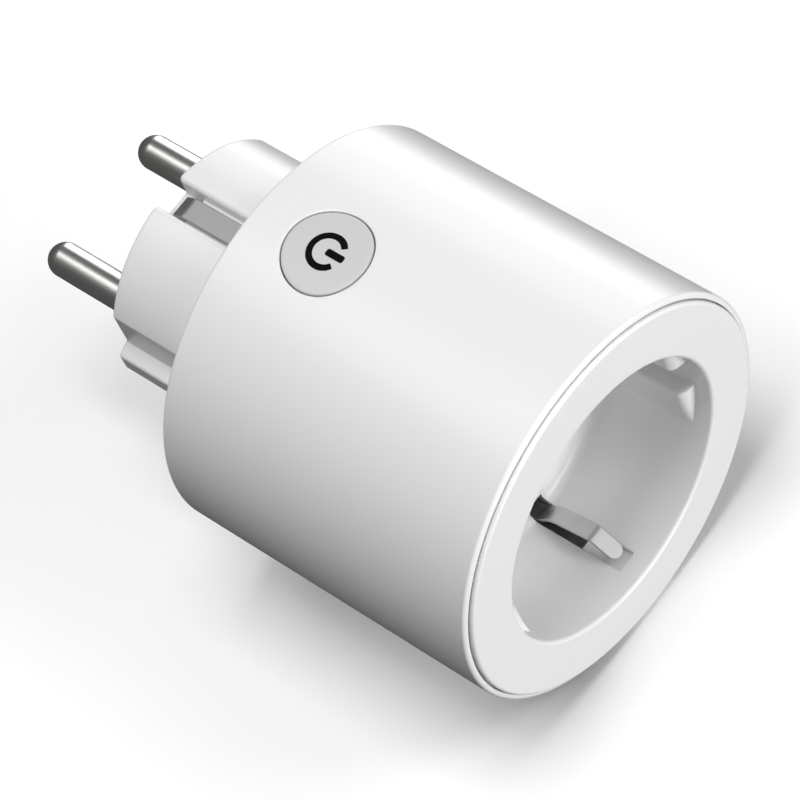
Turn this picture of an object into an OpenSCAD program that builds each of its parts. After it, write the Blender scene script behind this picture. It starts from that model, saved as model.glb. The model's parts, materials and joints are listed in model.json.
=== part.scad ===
// Round smart plug: an earthed socket in front, an earthed plug behind, a relay and radio between.
// +Y points at the wall, -Y out of the socket, +Z up through the button, the pins lie along X.
// The origin is the centre of the plug's face, which meets the floor of a wall outlet.

/* [Body] */
// Outside radius of the round body
body_r = 28; // [28:0.1:30]
// Length of the round body, from its rear to the face plate's front
body_len = 49.5; // [49:0.1:52]
// Wall of the outer shell
shell_wall = 2; // [1.6:0.1:2]
// Rounding of the shell's outer rims
rim_round = 0.5; // [0.3:0.1:0.6]

/* [Face plate and recess] */
// Radius of the face plate
plate_r = 27; // [26.8:0.1:27.2]
// How far the face plate stands proud of the shell
plate_proud = 0.6; // [0.3:0.1:0.8]
// Thickness of the face plate
plate_t = 2.4; // [2:0.1:3]
// Gap between the face plate and the shell
plate_gap = 0.2; // [0.1:0.05:0.3]
// Radius of the socket recess
recess_r = 19.5; // [19.4:0.1:19.7]
// Depth of the socket recess
recess_depth = 17.5; // [17.3:0.1:17.7]
// Wall of the recess
recess_wall = 1.5; // [1.3:0.1:1.6]
// Floor thickness of the recess
floor_t = 1.8; // [1.6:0.1:2]
// Rounding where the recess wall meets its floor
floor_round = 1.5; // [0.8:0.1:1.8]
// Distance of the guide ribs' faces from the centre plane
rib_x = 16.9; // [16.7:0.1:17.1]
// Half width of the groove between two guide ribs
rib_groove = 2.9; // [2.6:0.1:3.2]
// Depth at which the guide ribs start
rib_depth = 2.8; // [2:0.1:4]

/* [Plug] */
// Radius of the plug block
block_r = 17.5; // [17.4:0.1:17.8]
// Length of the plug block
block_len = 18.5; // [18:0.1:19]
// Distance of the block's flats from the centre plane
block_flat = 15.3; // [15.1:0.1:15.5]
// Rounding of the block's front edge
block_round = 0.6; // [0.3:0.1:0.8]
// Half width of the tongue on each flat, at its root
tongue_root = 2.45; // [2.3:0.05:2.6]
// Half width of the tongue on each flat, at its top
tongue_top = 1.5; // [1.3:0.05:1.8]
// Distance of the tongue's top from the centre plane
tongue_x = 17.3; // [17:0.1:17.3]
// Radius of a contact pin
pin_r = 2.4; // [2.37:0.01:2.43]
// Length of a contact pin in front of the block
pin_len = 19; // [18.7:0.1:19.3]
// Distance of each pin from the centre plane
pin_x = 9.5; // [9.4:0.05:9.6]

/* [Earth contacts] */
// Width of the earth slot in the plug block
block_slot_w = 4.4; // [4.2:0.1:4.8]
// Outer surface of the plug's earth strip, from the centre plane
strip_z = 15.8; // [15.7:0.05:15.9]
// Width of the plug's earth strip
strip_w = 3.2; // [3:0.1:3.4]
// Width of the earth slot in the recess wall
recess_slot_w = 3; // [2.8:0.1:3.6]
// Width of the socket's earth clip
clip_w = 2.4; // [2.2:0.1:2.6]
// Thickness of the socket's earth clip
clip_t = 0.5; // [0.4:0.05:0.6]

/* [Button] */
// Radius of the button
button_r = 5.85; // [5.5:0.05:6]
// Gap around the button
button_gap = 0.15; // [0.1:0.05:0.2]
// Distance of the button's centre from the body's rear
button_back = 12; // [11.5:0.1:12.5]
// Outer radius of the power symbol
icon_r = 2.7; // [2.4:0.1:3]
// Inner radius of the power symbol's ring
icon_inner_r = 1.83; // [1.6:0.01:2]
// Width of the power symbol's bar
icon_bar_w = 1; // [0.8:0.05:1.1]

/* [Shutter] */
// Radius of the rotating safety shutter
shutter_r = 13.4; // [13:0.1:13.4]
// Angle that the shutter turns to open
shutter_turn = 38; // [37.5:0.5:39]
// Radius of the pin holes
pin_hole_r = 2.9; // [2.8:0.05:2.95]

/* [Hidden] */
$fn = 96;
tiny = 0.02;
rear_y = -block_len;
face_y = rear_y - body_len;
shell_front_y = face_y + plate_proud;
plate_back_y = face_y + plate_t;
shell_bore_r = body_r - shell_wall;
seat_r = plate_r + plate_gap;
floor_y = face_y + recess_depth;
floor_back_y = floor_y + floor_t;
recess_out_r = recess_r + recess_wall;
rib_front_y = face_y + rib_depth;
spigot_r = shell_bore_r - 0.15;
spigot_wall = 1.4;
disc_y = rear_y - 1.8;
board_rear_y = disc_y - 1.1;
board_t = 1.6;
board_y = board_rear_y - board_t;
board_r = 24;
button_y = rear_y - button_back;
strip_t = 0.7;
strip_mid_z = strip_z - strip_t / 2;
slot_floor_z = strip_z - strip_t - 0.1;
hollow_r = 13.2;
pin_seat = 1;
pin_root_r = pin_r - 0.16;
shutter_gap = 0.3;
shutter_front_y = floor_back_y + shutter_gap;
shutter_back_y = shutter_front_y + 1.9;
carrier_y = shutter_back_y + shutter_gap;
carrier_back_y = carrier_y + 1.8;
bracket_back_y = carrier_back_y + strip_t;
boss_xz = 11.7;
rivet_z = 13.2;
clip_mid = clip_t / 2;
clip_pivot_z = 20.25;
clip_pivot_y = carrier_y - 1.5;
slot_front_y = face_y + 3;
window_y = face_y + 9.5;
tail_w = 0.8;
relay_z = -15.75;
relay_top_y = board_y - 15.3;
coil_x = -3;
armature_x = -8.1;
armature_y = board_y - 11.7;
button_board_z = 18.2;
button_board_top = button_board_z + 1;
tact_top = button_board_top + 1.7;

// Turns a profile of [radius, y] about the Y axis
module spin() rotate([-90, 0, 0]) rotate_extrude() children();

// Tube about the Y axis
module tube(r_in, r_out, y0, y1)
    spin() translate([r_in, y0]) square([r_out - r_in, y1 - y0]);

// Rod along Y at [x, z]
module rod_y(x, z, r, y0, y1)
    translate([x, y0, z]) rotate([-90, 0, 0]) cylinder(h = y1 - y0, r = r);

// Upright rod along Z at [x, y]
module rod_z(x, y, r, z0, z1) translate([x, y, z0]) cylinder(h = z1 - z0, r = r);

// Box between two corners
module bar(x, y, z) translate([x[0], y[0], z[0]]) cube([x[1] - x[0], y[1] - y[0], z[1] - z[0]]);

// Extrudes a section of [x, z] along Y
module along_y(y0, y1) translate([0, y1, 0]) rotate([90, 0, 0]) linear_extrude(y1 - y0) children();

// Extrudes a section of [y, z] along X, centred
module along_x(w) translate([-w / 2, 0, 0]) rotate([90, 0, 90]) linear_extrude(w) children();

module both_x() {
    children();
    mirror([1, 0, 0]) children();
}

module both_z() {
    children();
    mirror([0, 0, 1]) children();
}

// What a rounded edge takes off a square corner at p, with the material towards [sx, sy]
module soft_corner(p, r, sx, sy)
    translate(p) difference() {
        polygon([[-sx, -sy] * tiny, [sx * r, -sy * tiny], [sx, sy] * r, [-sx * tiny, sy * r]]);
        translate([sx, sy] * r) circle(r);
    }

// Bent sheet of thickness t along a path
module leaf(path, t)
    for (i = [0:len(path) - 2]) {
        step = path[i + 1] - path[i];
        translate(path[i]) rotate(atan2(step[1], step[0])) translate([0, -t / 2]) square([norm(step), t]);
        translate(path[i]) circle(t / 2);
        translate(path[i + 1]) circle(t / 2);
    }

module outer_shell() color("white") difference() {
    spin() difference() {
        translate([shell_bore_r, shell_front_y]) square([shell_wall, rear_y - shell_front_y]);
        soft_corner([body_r, shell_front_y], rim_round, -1, 1);
        soft_corner([body_r, rear_y], rim_round, -1, -1);
        translate([0, shell_front_y - 1]) square([seat_r, plate_back_y - shell_front_y + 1]);
    }
    rod_z(0, button_y, button_r + button_gap, shell_bore_r / 2, body_r + 1);
}

// Section of the plug block: a circle with two flats, and a tongue on each flat
module block_section() difference() {
    union() {
        intersection() {
            circle(block_r);
            square([block_flat * 2, block_r * 3], center = true);
        }
        for (side = [-1, 1])
            polygon([
                [side * (block_flat - 1), -tongue_root], [side * block_flat, -tongue_root],
                [side * tongue_x, -tongue_top], [side * tongue_x, tongue_top],
                [side * block_flat, tongue_root], [side * (block_flat - 1), tongue_root]
            ]);
    }
    for (side = [-1, 1])
        translate([0, side * (slot_floor_z + block_r / 2)]) square([block_slot_w, block_r], center = true);
}

module rear_housing() color("white") difference() {
    union() {
        intersection() {
            along_y(disc_y, 0) block_section();
            spin() difference() {
                translate([0, disc_y]) square([block_r, -disc_y]);
                soft_corner([block_r, 0], block_round, -1, -1);
            }
        }
        tube(0, spigot_r, disc_y, rear_y);
        tube(spigot_r - spigot_wall, spigot_r, disc_y - 4, disc_y + tiny);
    }
    // hollow of the block, around the pins' bosses
    difference() {
        rod_y(0, 0, hollow_r, disc_y - tiny, -2.5);
        both_x() rod_y(pin_x, 0, 3.6, -16, 0);
    }
    both_x() {
        rod_y(pin_x, 0, pin_r, -pin_seat, 1);
        rod_y(pin_x, 0, pin_root_r + 0.02, -17, 1);
    }
    // way of the earth strips through the disc, and the pocket of their bent ends
    both_z() bar([-1.8, 1.8], [disc_y - 1, rear_y + tiny], [slot_floor_z, strip_z + 0.1]);
    both_z() bar([-block_slot_w / 2, block_slot_w / 2], [-3.8, 1], [13.8, block_r + 1]);
}

// Section of the socket insert: face plate, recess wall and floor, and the spigot in the shell
module insert_section() difference() {
    union() {
        translate([recess_r, face_y]) square([plate_r - recess_r, plate_t]);
        translate([recess_r, face_y]) square([recess_wall, floor_back_y - face_y]);
        translate([0, floor_y]) square([recess_out_r, floor_t]);
        translate([spigot_r - spigot_wall, plate_back_y - tiny]) square([spigot_wall, 3]);
        difference() {
            translate([recess_r - floor_round, floor_y - floor_round]) square(floor_round + tiny);
            translate([recess_r - floor_round, floor_y - floor_round]) circle(floor_round);
        }
    }
    soft_corner([plate_r, face_y], 0.4, -1, 1);
    soft_corner([recess_r, face_y], 0.5, 1, 1);
}

module socket_insert() color("whitesmoke") difference() {
    union() {
        spin() insert_section();
        intersection() {
            rod_y(0, 0, recess_r + 0.5, rib_front_y, floor_y + 0.5);
            both_x() both_z()
                bar([rib_x, recess_r + 1], [rib_front_y, floor_y + 0.5], [rib_groove, recess_r]);
        }
        rod_y(0, 0, 2.5, floor_back_y - tiny, carrier_y);
        for (side = [-1, 1])
            rod_y(side * boss_xz, side * boss_xz, 2.2, floor_back_y - tiny, carrier_y);
    }
    both_x() rod_y(pin_x, 0, pin_hole_r, floor_y - 1, floor_back_y + 1);
    for (side = [-1, 1])
        rod_y(side * boss_xz, side * boss_xz, 1, floor_y + 0.6, carrier_y + 1);
    // shallow slot in the recess wall, then a window that runs on through the floor
    both_z() {
        bar([-recess_slot_w / 2, recess_slot_w / 2], [slot_front_y, window_y + 1], [recess_r - 2, recess_r + 0.8]);
        bar([-recess_slot_w / 2, recess_slot_w / 2], [window_y, floor_back_y + 1], [17.4, recess_out_r + 0.6]);
    }
}

// Pin with a domed end and a soldered tail
module plug_pin(x) color("silver") {
    rod_y(x, 0, pin_r, 0, pin_len - pin_r);
    translate([x, pin_len - pin_r, 0]) sphere(pin_r);
    rod_y(x, 0, pin_root_r, -17, tiny);
    rod_y(x, 0, 1.2, board_y - 0.8, -17 + tiny);
}

module plug_pin_left() plug_pin(-pin_x);
module plug_pin_right() plug_pin(pin_x);

module plug_earth_strap() color("silver") difference() {
    along_x(strip_w) {
        leaf([
            [-1.6, strip_mid_z - 0.9], [-3.2, strip_mid_z],
            [bracket_back_y + strip_t / 2, strip_mid_z], [bracket_back_y + strip_t / 2, rivet_z - 1.8]
        ], strip_t);
        leaf([
            [-1.6, 0.9 - strip_mid_z], [-3.2, -strip_mid_z],
            [disc_y - strip_t / 2, -strip_mid_z], [disc_y - strip_t / 2, strip_mid_z]
        ], strip_t);
    }
    rod_y(0, rivet_z, 0.95, bracket_back_y - 1, bracket_back_y + 2);
}

module socket_earth_bracket() color("silver") difference() {
    union() {
        bar([-3, 3], [carrier_back_y, bracket_back_y], [-20.6, 20.6]);
        both_z() bar([-clip_w / 2, clip_w / 2], [clip_pivot_y + 0.1, bracket_back_y], [19.9, 20.6]);
    }
    rod_y(0, rivet_z, 0.95, carrier_back_y - 1, bracket_back_y + 1);
}

// Spring clip of the socket's upper earth contact, with a rounded tip
module earth_clip() color("gainsboro") intersection() {
    along_x(clip_w)
        leaf([
            [clip_pivot_y - 0.4, clip_pivot_z], [floor_y - 0.5, clip_pivot_z - 0.2],
            [face_y + 14, 17 + clip_mid], [face_y + 7.4, 15.7 + clip_mid],
            [face_y + 3.5, 18.6 + clip_mid]
        ], clip_t);
    translate([0, 0, 14]) linear_extrude(8) union() {
        translate([-clip_w / 2, face_y + 5]) square([clip_w, 20]);
        translate([0, face_y + 5]) circle(clip_w / 2);
    }
}

module earth_clip_top() earth_clip();
module earth_clip_bottom() mirror([0, 0, 1]) earth_clip();

module earth_rivet() color("silver") {
    rod_y(0, rivet_z, 0.93, carrier_back_y, bracket_back_y + strip_t + 0.1);
    rod_y(0, rivet_z, 1.5, bracket_back_y + strip_t, bracket_back_y + strip_t + 0.5);
}

module contact_carrier() color("dimgray") difference() {
    tube(0, 18.6, carrier_y, carrier_back_y);
    both_x() rod_y(pin_x, 0, pin_hole_r, carrier_y - 1, carrier_back_y + 1);
    for (side = [-1, 1])
        rod_y(side * boss_xz, side * boss_xz, 1.1, carrier_y - 1, carrier_back_y + 1);
}

module carrier_screws() color("silver") for (side = [-1, 1]) difference() {
    union() {
        rod_y(side * boss_xz, side * boss_xz, 0.95, floor_back_y - 0.8, carrier_back_y + tiny);
        rod_y(side * boss_xz, side * boss_xz, 1.9, carrier_back_y, carrier_back_y + 1.3);
    }
    for (turn = [0, 90])
        translate([side * boss_xz, carrier_back_y + 0.6, side * boss_xz]) rotate([0, turn, 0])
            translate([-1.1, 0, -0.25]) cube([2.2, 1, 0.5]);
}

// Split sleeve that grips an appliance's pin, with a tail down to the main board
module socket_contact() color("goldenrod") difference() {
    union() {
        rod_y(pin_x, 0, 3.1, carrier_back_y, carrier_back_y + 10);
        bar([pin_x + 2.8, pin_x + 2.8 + tail_w], [carrier_back_y + 4, board_y - 0.4], [-1.5, 1.5]);
        bar([pin_x + 2.8, pin_x + 2.8 + tail_w], [board_y - 1, board_rear_y + 0.5], [-1, 1]);
    }
    rod_y(pin_x, 0, 2.45, carrier_back_y - 1, carrier_back_y + 11);
    bar([pin_x - 4, pin_x], [carrier_back_y - 1, carrier_back_y + 11], [-0.5, 0.5]);
}

module live_contact() socket_contact();
module neutral_contact() mirror([1, 0, 0]) socket_contact();

// Disc that covers the pin holes until two pins turn it aside
module safety_shutter() color("gray") difference() {
    tube(2.65, shutter_r, shutter_front_y, shutter_back_y);
    tube(2, 4.7, shutter_back_y - 1.1, shutter_back_y + 1);
    for (turn = [0, 180]) rotate([0, -shutter_turn + turn, 0]) {
        rod_y(pin_x, 0, pin_hole_r + 0.1, shutter_front_y - 1, shutter_back_y + 1);
        // ramp that a pin's dome slides down
        translate([pin_x - 2, shutter_front_y - 2.6, -3]) rotate([20, 0, 0]) cube([4, 2, 4]);
    }
}

module shutter_spring() color("silver") {
    rotate([-90, 0, 0]) for (turn = [0, 1])
        translate([0, 0, shutter_back_y - 0.75 + turn * 0.45])
            rotate_extrude() translate([3.7, 0]) circle(0.25);
    rod_y(3.7, 0, 0.25, shutter_back_y - 0.25, carrier_y);
}

// Power symbol: a ring that is open towards -Y, and a bar through the opening
module icon_section() translate([0, button_y]) {
    difference() {
        circle(icon_r);
        circle(icon_inner_r);
        polygon([[0, 0], [-3 * icon_r * sin(37), -3 * icon_r * cos(37)], [3 * icon_r * sin(37), -3 * icon_r * cos(37)]]);
    }
    translate([-icon_bar_w / 2, icon_bar_w / 2 - icon_r]) square([icon_bar_w, icon_r - icon_bar_w]);
    for (y = [icon_bar_w / 2 - icon_r, -icon_bar_w / 2]) translate([0, y]) circle(icon_bar_w / 2);
}

module button_cap() color("whitesmoke") difference() {
    union() {
        intersection() {
            rod_z(0, button_y, button_r, 24.2, body_r + 1);
            rod_y(0, 0, body_r, button_y - 10, button_y + 10);
        }
        rod_z(0, button_y, button_r + 1, 23.4, 24.3);
        rod_z(0, button_y, 1.6, tact_top + 0.9, 23.5);
    }
    intersection() {
        translate([0, 0, body_r - 2]) linear_extrude(3) icon_section();
        tube(body_r - 0.4, body_r + 1, button_y - 5, button_y + 5);
    }
}

module power_icon() color("black") intersection() {
    translate([0, 0, body_r - 2]) linear_extrude(3) icon_section();
    tube(body_r - 0.4, body_r, button_y - 5, button_y + 5);
}

module button_board() color("darkgreen") difference() {
    bar([-7, 7], [button_y - 7, board_y - 0.3], [button_board_z, button_board_top]);
    for (i = [-1.5:1.5]) rod_z(i * 2.54, board_y - 1.5, 0.55, button_board_z - 1, button_board_top + 1);
}

module tact_switch() color("dimgray") difference() {
    bar([-2.6, 2.6], [button_y - 2.6, button_y + 2.6], [button_board_top, tact_top]);
    rod_z(0, button_y, 1.15, button_board_top + 0.3, tact_top + 1);
}

module tact_stem() color("black") rod_z(0, button_y, 1, button_board_top + 0.75, tact_top + 0.8);

module status_led() color("lightskyblue") {
    bar([3.6, 5.6], [button_y + 2.5, button_y + 3.8], [button_board_top, button_board_top + 0.6]);
    bar([3.9, 5.3], [button_y + 2.6, button_y + 3.7], [button_board_top + 0.55, button_board_top + 0.9]);
}

// Angled header that joins the button board to the main board
module board_header() color("black") {
    bar([-5, 5], [board_y - 2.5, board_y], [strip_z + 0.15, button_board_z]);
    for (i = [-1.5:1.5]) {
        rod_y(i * 2.54, 17.1, 0.4, board_y - tiny, board_rear_y + 0.5);
        rod_z(i * 2.54, board_y - 1.5, 0.4, button_board_z - tiny, button_board_top + 0.5);
    }
}

module main_board() color("darkgreen") difference() {
    tube(0, board_r, board_y, board_rear_y);
    both_x() rod_y(pin_x, 0, 1.35, board_y - 1, board_rear_y + 1);
    both_x() bar([pin_x + 2.6, pin_x + 3.8], [board_y - 1, board_rear_y + 1], [-1.2, 1.2]);
    bar([-2, 2], [board_y - 1, board_rear_y + 1], [strip_z - strip_t - 0.3, strip_z + 0.3]);
    for (i = [-1.5:1.5]) rod_y(i * 2.54, 17.1, 0.5, board_y - 1, board_rear_y + 1);
    for (x = [-7, 7], z = [-3, 3]) rod_y(x, relay_z + z, 0.6, board_y - 1, board_rear_y + 1);
}

module relay_case() color("royalblue") difference() {
    bar([-9.5, 9.5], [relay_top_y, board_y], [relay_z - 5.25, relay_z + 5.25]);
    bar([-8.9, 8.9], [relay_top_y + 0.6, board_y + 1], [relay_z - 4.65, relay_z + 4.65]);
}

module relay_base() color("black") {
    bar([-8.85, 8.85], [board_y - 1, board_y], [relay_z - 4.6, relay_z + 4.6]);
    for (x = [-7, 7], z = [-3, 3]) rod_y(x, relay_z + z, 0.5, board_y - tiny, board_rear_y + 0.5);
}

module relay_coil() color("sienna") difference() {
    union() {
        rod_y(coil_x, relay_z, 3.6, board_y - 11, board_y - 2.2);
        for (y = [board_y - 11, board_y - 3])
            bar([coil_x - 4.2, coil_x + 4.2], [y, y + 0.8], [relay_z - 4, relay_z + 4]);
    }
    rod_y(coil_x, relay_z, 1.45, board_y - 12, board_y - 1);
}

module relay_yoke() color("gray") {
    bar([-8.6, -1], [board_y - 2.2, board_y - 1], [relay_z - 3, relay_z + 3]);
    bar([armature_x - 0.5, armature_x + 0.5], [armature_y, board_y - 1], [relay_z - 3, relay_z + 3]);
    rod_z(armature_x, armature_y, 0.5, relay_z - 3, relay_z + 3);
    rod_y(coil_x, relay_z, 1.4, board_y - 11.7, board_y - 2);
}

// Plate that the coil pulls, with the moving contact on its spring leaf
module relay_armature() color("lightgray") {
    bar([-8.6, 2], [board_y - 13.25, board_y - 12.25], [relay_z - 2.7, relay_z + 2.7]);
    bar([1.9, 7.6], [board_y - 13.1, board_y - 12.8], [relay_z - 1.3, relay_z + 1.3]);
    rod_y(6.4, relay_z, 1, board_y - 12.85, board_y - 12.2);
}

module relay_post() color("goldenrod") {
    rod_y(6.4, relay_z, 1, board_y - 11.2, board_y - 10.5);
    bar([5.8, 7], [board_y - 10.6, board_y - 1], [relay_z - 1, relay_z + 1]);
}

// Radial part with a round can on the main board
module can(x, z, r, h) {
    rod_y(x, z, r, board_y - h, board_y - 0.6);
    rod_y(x, z, r - 0.5, board_y - 0.7, board_y);
}

module bulk_capacitor() color("darkslateblue") can(-15.5, 10, 4, 12);
module output_capacitor() color("darkslateblue") can(15.5, 11.5, 3.15, 11);

module input_inductor() color("black") {
    can(-13.2, -7, 2.9, 1.5);
    rod_y(-13.2, -7, 2.3, board_y - 7.5, board_y - 1);
    rod_y(-13.2, -7, 2.9, board_y - 8.5, board_y - 7.4);
}

module varistor() color("steelblue") {
    translate([12.2, board_y - 5, -12.5]) rotate([0, 90, 0]) cylinder(h = 3.6, r = 4.3);
    bar([13.6, 14.4], [board_y - 2, board_y], [-15, -14.2]);
    bar([13.6, 14.4], [board_y - 2, board_y], [-10.8, -10]);
}

module fuse_resistor() color("darkseagreen") {
    rod_z(-13.5, board_y - 2, 1.6, -18, -12);
    for (z = [-17.2, -13.4]) bar([-13.9, -13.1], [board_y - 1, board_y], [z, z + 0.6]);
}

// Flat chip with a row of legs on two sides
module chip(x, z, w, d, h, legs) {
    bar([x - w / 2, x + w / 2], [board_y - h, board_y - 0.15], [z - d / 2, z + d / 2]);
    for (side = [-1, 1], i = [0:legs - 1])
        bar([x + (i - (legs - 1) / 2) * 1.27 - 0.2, x + (i - (legs - 1) / 2) * 1.27 + 0.2],
            [board_y - h / 2, board_y], [z + side * (d / 2 + 0.3) - 0.4, z + side * (d / 2 + 0.3) + 0.4]);
}

module bridge_rectifier() color("black") chip(17.4, -4, 4.7, 4, 2.5, 2);
module power_ic() color("black") chip(17.5, 3.8, 5, 4, 1.6, 4);
module metering_ic() color("black") chip(5.5, 7, 5, 4, 1.6, 4);

module current_shunt() color("darkgoldenrod") translate([0, 0, 5.5]) linear_extrude(2.5)
    leaf([[-8, board_y - 0.25], [-8, board_y - 4], [-3, board_y - 4], [-3, board_y - 0.25]], 0.5);

module wifi_board() color("navy") bar([-19.6, -18.8], [board_y - 18, board_y], [-11, 4]);
module wifi_shield() color("silver") bar([-18.8, -16.6], [board_y - 10.5, board_y - 1.5], [-9.5, 2.5]);

outer_shell();
rear_housing();
socket_insert();
plug_pin_left();
plug_pin_right();
plug_earth_strap();
socket_earth_bracket();
earth_clip_top();
earth_clip_bottom();
earth_rivet();
contact_carrier();
carrier_screws();
live_contact();
neutral_contact();
safety_shutter();
shutter_spring();
button_cap();
power_icon();
button_board();
tact_switch();
tact_stem();
status_led();
board_header();
main_board();
relay_case();
relay_base();
relay_coil();
relay_yoke();
relay_armature();
relay_post();
bulk_capacitor();
output_capacitor();
input_inductor();
varistor();
fuse_resistor();
bridge_rectifier();
power_ic();
metering_ic();
current_shunt();
wifi_board();
wifi_shield();
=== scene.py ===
"""Looks of a round smart plug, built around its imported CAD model.

Shapes are worked out in millimetres and turned into metres when a piece is made.
The frame is the CAD's: +Y into the wall, -Y out of the socket, +Z up through the button, pins along X.
"""
import json
import math

import bmesh
import bpy
from mathutils import Matrix, Vector
from mathutils.geometry import delaunay_2d_cdt


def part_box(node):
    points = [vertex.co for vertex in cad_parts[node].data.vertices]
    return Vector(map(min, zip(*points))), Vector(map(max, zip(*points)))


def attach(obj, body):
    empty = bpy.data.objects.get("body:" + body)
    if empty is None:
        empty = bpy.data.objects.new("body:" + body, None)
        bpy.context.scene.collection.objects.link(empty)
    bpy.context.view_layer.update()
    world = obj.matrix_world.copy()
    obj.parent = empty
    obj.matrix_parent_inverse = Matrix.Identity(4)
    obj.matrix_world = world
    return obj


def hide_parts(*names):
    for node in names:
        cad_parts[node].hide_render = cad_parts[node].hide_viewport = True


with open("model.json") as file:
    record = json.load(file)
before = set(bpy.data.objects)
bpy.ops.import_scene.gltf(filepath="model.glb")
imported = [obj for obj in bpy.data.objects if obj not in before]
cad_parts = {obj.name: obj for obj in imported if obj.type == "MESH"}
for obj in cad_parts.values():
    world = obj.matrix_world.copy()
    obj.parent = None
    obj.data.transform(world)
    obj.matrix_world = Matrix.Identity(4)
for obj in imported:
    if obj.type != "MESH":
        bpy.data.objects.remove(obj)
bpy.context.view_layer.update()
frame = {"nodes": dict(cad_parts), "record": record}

MM = 0.001
SHARP_ANGLE = math.radians(34)


def low(node):
    """Lowest corner of a CAD node, in millimetres"""
    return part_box(node)[0] / MM


def high(node):
    """Highest corner of a CAD node, in millimetres"""
    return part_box(node)[1] / MM


# Body
BODY_R = high("outer_shell").x
REAR_Y = high("outer_shell").y
SHELL_FRONT_Y = low("outer_shell").y
SHELL_BORE_R = BODY_R - 2
RIM_ROUND = 0.5

# Face plate and recess; depths count from the face plate's front
FACE_Y = low("socket_insert").y
PLATE_R = high("socket_insert").x
PLATE_T = 2.4
SEAT_R = PLATE_R + 0.2
SPIGOT_R = high("rear_housing").x
SPIGOT_WALL = 1.4
RECESS_R = 19.5
RECESS_OUT_R = 21
RECESS_DEPTH = 17.5
FLOOR_BACK = 19.3
FLOOR_RING_R = 16
RIB_X = 16.9
RIB_GROOVE = 2.9
RIB_DEPTH = 2.8
RIB_NOSE = 1.2
SLOT_HALF_W = 1.5
SLOT_FLOOR_Z = 20.3
SLOT_DEPTH = 3.0
WINDOW_DEPTH = 9.5
PLATE_ROUND = 0.4
MOUTH_ROUND = 0.5
FLOOR_ROUND = 1.5
NOTCH_R = 17.4
PIN_HOLE_R = 2.9
BOSS_XZ = 11.7
BOSS_BACK_Y = low("contact_carrier").y

# Plug
BLOCK_R = 17.5
BLOCK_FLAT = 15.3
BLOCK_ROUND = 0.55
BLOCK_SLOT_HALF_W = 2.2
BLOCK_SLOT_FLOOR = 15.0
POCKET_FLOOR = 13.8
POCKET_Y = -3.8
DISC_BACK_Y = REAR_Y - 1.8
HOUSING_BACK_Y = low("rear_housing").y
HOLLOW_R = 13.2
HOLLOW_Y = -2.5
PIN_BOSS_R = 3.6
PIN_BOSS_Y = -16
PIN_X = (low("plug_pin_right").x + high("plug_pin_right").x) / 2
PIN_R = (high("plug_pin_right").x - low("plug_pin_right").x) / 2
PIN_TIP_Y = high("plug_pin_right").y
PIN_TAIL_Y = low("plug_pin_right").y
STRIP_T = 0.7
STRIP_Z = high("plug_earth_strap").z - STRIP_T / 2
STRIP_W = high("plug_earth_strap").x * 2

# Earth clip
CLIP_W = high("earth_clip_top").x * 2
CLIP_T = 0.5

# Button
BUTTON_Y = (low("button_cap").y + high("button_cap").y) / 2
BUTTON_R = 5.85
BUTTON_HOLE_R = 6.0
BUTTON_FACE_R = BODY_R - 0.02
BUTTON_SIDES = 128
FLANGE_R = high("button_cap").x
ICON_R = high("power_icon").x
ICON_INNER_R = 1.83
ICON_GAP = 37
ICON_BAR_W = 1.0

# Camera: where it looks, from where, how far, and its turn about its own line of sight
AIM = Vector((-1.92, -34.01, -2.85))
CAMERA_AZIMUTH = -28.9107
CAMERA_ELEVATION = 57.2703
CAMERA_ROLL = 26.2225
CAMERA_DISTANCE = 545.53
CAMERA_LENS = 194.393


# ---------------------------------------------------------------- outlines

def arc(r, start, end, steps):
    """Points on a circle of radius r about the origin, from one angle to another in degrees"""
    turns = [math.radians(start + (end - start) * i / steps) for i in range(steps + 1)]
    return [(r * math.cos(t), r * math.sin(t)) for t in turns]


def rounded(corners, closed=False, steps=6):
    """Outline through corners (a, b) or (a, b, radius), each radius cut by a true arc"""
    out = []
    count = len(corners)
    for i, corner in enumerate(corners):
        point = Vector(corner[:2])
        inside = closed or 0 < i < count - 1
        if len(corner) < 3 or not inside:
            out.append(tuple(point))
            continue
        before = (Vector(corners[i - 1][:2]) - point).normalized()
        after = (Vector(corners[(i + 1) % count][:2]) - point).normalized()
        half = before.angle(after) / 2
        centre = point + (before + after).normalized() * corner[2] / math.sin(half)
        start = point + before * corner[2] / math.tan(half) - centre
        end = point + after * corner[2] / math.tan(half) - centre
        turn = math.atan2(start.x * end.y - start.y * end.x, start.dot(end))
        for k in range(steps + 1):
            spin = Matrix.Rotation(turn * k / steps, 2)
            out.append(tuple(centre + spin @ start))
    return out


def four_quadrants(quarter):
    """Closed outline from its first quadrant, which runs from the X axis to the Z axis"""
    upper = quarter + [(-x, z) for x, z in reversed(quarter[:-1])]
    return upper + [(-x, -z) for x, z in quarter[1:]] + [(x, -z) for x, z in reversed(quarter[1:-1])]


def inset(outline, distance):
    """A closed counter-clockwise outline moved inwards by a distance"""
    out = []
    for i, point in enumerate(outline):
        p = Vector(point)
        back = (p - Vector(outline[i - 1])).normalized()
        ahead = (Vector(outline[(i + 1) % len(outline)]) - p).normalized()
        left = (Vector((-back.y, back.x)) + Vector((-ahead.y, ahead.x))).normalized()
        out.append(tuple(p + left * distance / max(0.5, left.dot(Vector((-back.y, back.x))))))
    return out


def mix(a, b, share):
    return a + (b - a) * share


def in_outline(point, outline):
    """Whether a flat point lies inside a closed outline"""
    x, y = point
    inside = False
    for i, (x1, y1) in enumerate(outline):
        x0, y0 = outline[i - 1]
        if (y0 > y) != (y1 > y) and x < x0 + (y - y0) * (x1 - x0) / (y1 - y0):
            inside = not inside
    return inside


# ---------------------------------------------------------------- shapes

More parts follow.
